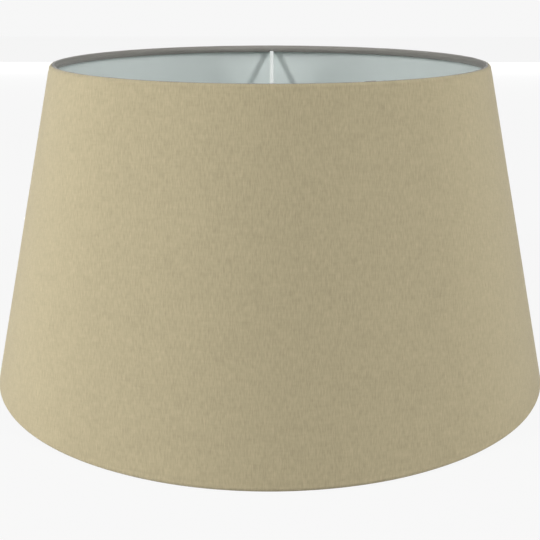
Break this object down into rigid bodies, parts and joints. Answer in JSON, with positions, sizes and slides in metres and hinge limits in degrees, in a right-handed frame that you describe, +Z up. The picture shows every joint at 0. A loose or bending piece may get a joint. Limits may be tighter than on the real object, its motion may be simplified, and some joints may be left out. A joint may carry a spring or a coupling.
{
  "type": "lamp shade",
  "caption": "Tapered hard-backed drum lamp shade in linen-look cotton with rolled rims, a white liner and a recessed spoked fitter ring for a screw-shell lamp holder.",
  "frame": {"origin": "centre of the circle that the bottom rim stands on", "axes": "+Z up along the shade's axis towards the narrow end, +Y towards the rear spoke and the cover's lap seam, +X to the right seen from the front"},
  "size_m": [0.4, 0.4006, 0.224],
  "materials": {
    "cover_cloth": "matte",
    "liner_sheet": "satin",
    "edge_tape": "matte",
    "clear_tape": "satin",
    "ring_wire": "satin",
    "white_coat": "satin"
  },
  "bodies": {
    "root": {"fabric_cover": "cover_cloth", "backing_panel": "liner_sheet", "seam_tape": "clear_tape", "top_ring": "ring_wire", "bottom_ring": "ring_wire", "top_ring_adhesive": "clear_tape", "bottom_ring_adhesive": "clear_tape", "top_edge_tape": "edge_tape", "bottom_edge_tape": "edge_tape", "spoke_rear": "white_coat", "spoke_left": "white_coat", "spoke_right": "white_coat", "fitter_ring": "white_coat"}
  },
  "joints": []
}
